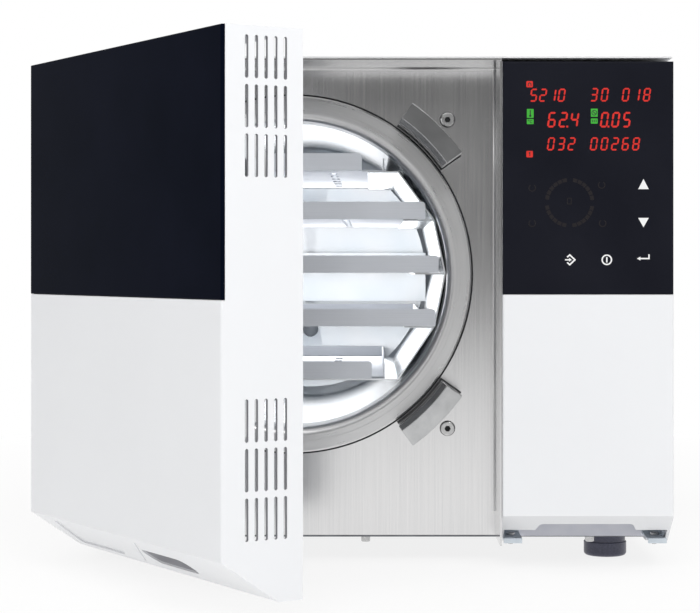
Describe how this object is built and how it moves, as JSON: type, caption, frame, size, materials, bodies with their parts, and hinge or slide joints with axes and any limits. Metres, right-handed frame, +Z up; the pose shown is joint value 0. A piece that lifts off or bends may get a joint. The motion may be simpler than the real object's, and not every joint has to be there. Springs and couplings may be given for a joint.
{
  "type": "bench-top steam steriliser",
  "caption": "Front-loading bench-top steam autoclave with a side-hinged door, bolt closure, tray chamber and control column.",
  "frame": {"origin": "on the table under the middle of the cabinet's footprint", "axes": "+X to the right seen from the front, +Y to the rear, +Z up"},
  "size_m": [0.5179, 0.8786, 0.4208],
  "materials": {
    "white_shell": "satin moulded",
    "black_glass": "polished",
    "painted_case": "fine powder coat",
    "brushed_plate": "vertical brushing",
    "machined_steel": "turned and milled",
    "polished_steel": "polished",
    "tray_sheet": "anodised",
    "zinc_sheet": "zinc plated",
    "screws": "plain",
    "rubber": "matte",
    "brass": "plain",
    "copper_pipe": "drawn",
    "boiler_steel": "plain",
    "aluminium_parts": "cast",
    "wool": "felted",
    "black_plastic": "moulded",
    "tank_plastic": "moulded",
    "circuit_board": "board"
  },
  "bodies": {
    "cabinet": {"control_shell": "white_shell", "control_glass": "black_glass", "casing_cover": "painted_case", "rear_panel": "painted_case", "front_plate": "brushed_plate", "chamber_ring": "machined_steel", "lock_blocks": "machined_steel", "hinge_brackets": "machined_steel", "chamber_vessel": "polished_steel", "tray_rack": "polished_steel", "base_pan": "zinc_sheet", "bay_bulkhead": "zinc_sheet", "bay_frame": "zinc_sheet", "chamber_cradle": "zinc_sheet", "shell_brackets": "zinc_sheet", "hinge_pins": "zinc_sheet", "case_screws": "screws", "lock_block_screws": "screws", "feet": "rubber", "valve_manifold": "brass", "safety_valve": "brass", "drain_spigots": "brass", "pipes": "copper_pipe", "steam_generator": "boiler_steel", "heater_bands": "boiler_steel", "vacuum_pump": "aluminium_parts", "condenser": "aluminium_parts", "power_supply": "aluminium_parts", "insulation": "wool", "mains_inlet": "black_plastic", "fan_housing": "black_plastic", "water_tank": "tank_plastic", "lid_hinge": "tank_plastic", "display_module": "circuit_board", "main_board": "circuit_board"},
    "door": {"door_shell": "white_shell", "door_glass": "black_glass", "door_frame_plate": "zinc_sheet", "door_inner_cover": "white_shell", "pressure_disc": "machined_steel", "door_gasket": "rubber", "bolt_guides": "zinc_sheet", "cam_post": "zinc_sheet", "gear_motor": "aluminium_parts", "door_screws": "screws"},
    "bolt_1": {"bolt_1": "zinc_sheet"},
    "bolt_2": {"bolt_2": "zinc_sheet"},
    "bolt_3": {"bolt_3": "zinc_sheet"},
    "bolt_4": {"bolt_4": "zinc_sheet"},
    "tray_1": {"tray_1": "tray_sheet"},
    "tray_2": {"tray_2": "tray_sheet"},
    "tray_3": {"tray_3": "tray_sheet"},
    "tray_4": {"tray_4": "tray_sheet"},
    "tray_5": {"tray_5": "tray_sheet"},
    "locking_cam": {"locking_cam": "zinc_sheet"},
    "drive_pinion": {"drive_pinion": "brass"},
    "tank_lid": {"tank_lid": "tank_plastic"},
    "power_switch": {"power_switch": "black_plastic"},
    "fan_rotor": {"fan_rotor": "black_plastic"}
  },
  "joints": [
    {"name": "door_hinge", "type": "hinge", "parent": "cabinet", "child": "door", "pos_m": [-0.229, -0.247, 0.2387], "axis": [0, 0, -1], "range_deg": [-58.5, 45]},
    {"name": "cam_turn", "type": "hinge", "parent": "door", "child": "locking_cam", "pos_m": [-0.16908, -0.40028, 0.2387], "axis": [-0.8526, -0.5225, 0], "range_deg": [0, 75]},
    {"name": "pinion_turn", "type": "hinge", "parent": "door", "child": "drive_pinion", "pos_m": [-0.16908, -0.40028, 0.1547], "axis": [-0.8526, -0.5225, 0], "range_deg": [-451, 1]},
    {"name": "bolt_1_slide", "type": "slide", "parent": "door", "child": "bolt_1", "axis": [0.3695, -0.6029, 0.7071], "range_m": [-0.0002, 0.0152]},
    {"name": "bolt_2_slide", "type": "slide", "parent": "door", "child": "bolt_2", "axis": [-0.2612, 0.4263, 0.866], "range_m": [-0.0002, 0.0152]},
    {"name": "bolt_3_slide", "type": "slide", "parent": "door", "child": "bolt_3", "axis": [-0.2612, 0.4263, -0.866], "range_m": [-0.0002, 0.0152]},
    {"name": "bolt_4_slide", "type": "slide", "parent": "door", "child": "bolt_4", "axis": [0.3695, -0.6029, -0.7071], "range_m": [-0.0002, 0.0152]},
    {"name": "tray_1_slide", "type": "slide", "parent": "cabinet", "child": "tray_1", "axis": [0, -1, 0], "range_m": [0, 0.13]},
    {"name": "tray_2_slide", "type": "slide", "parent": "cabinet", "child": "tray_2", "axis": [0, -1, 0], "range_m": [0, 0.072]},
    {"name": "tray_3_slide", "type": "slide", "parent": "cabinet", "child": "tray_3", "axis": [0, -1, 0], "range_m": [0, 0.058]},
    {"name": "tray_4_slide", "type": "slide", "parent": "cabinet", "child": "tray_4", "axis": [0, -1, 0], "range_m": [0, 0.058]},
    {"name": "tray_5_slide", "type": "slide", "parent": "cabinet", "child": "tray_5", "axis": [0, -1, 0], "range_m": [0, 0.13]},
    {"name": "lid_hinge_turn", "type": "hinge", "parent": "cabinet", "child": "tank_lid", "pos_m": [0.16615, 0.1525, 0.4168], "axis": [-1, 0, 0], "range_deg": [0, 95]},
    {"name": "switch_rock", "type": "hinge", "parent": "cabinet", "child": "power_switch", "pos_m": [0.15015, 0.294, 0.062], "axis": [-1, 0, 0], "range_deg": [0, 24]},
    {"name": "fan_spin", "type": "hinge", "parent": "cabinet", "child": "fan_rotor", "pos_m": [0.16615, 0.285, 0.22], "axis": [0, -1, 0], "continuous": true}
  ],
  "couplings": [
    {"joint": "pinion_turn", "follows": "cam_turn", "ratio": -6},
    {"joint": "bolt_1_slide", "follows": "cam_turn", "m_per_rad": 0.011459},
    {"joint": "bolt_2_slide", "follows": "cam_turn", "m_per_rad": 0.011459},
    {"joint": "bolt_3_slide", "follows": "cam_turn", "m_per_rad": 0.011459},
    {"joint": "bolt_4_slide", "follows": "cam_turn", "m_per_rad": 0.011459}
  ]
}
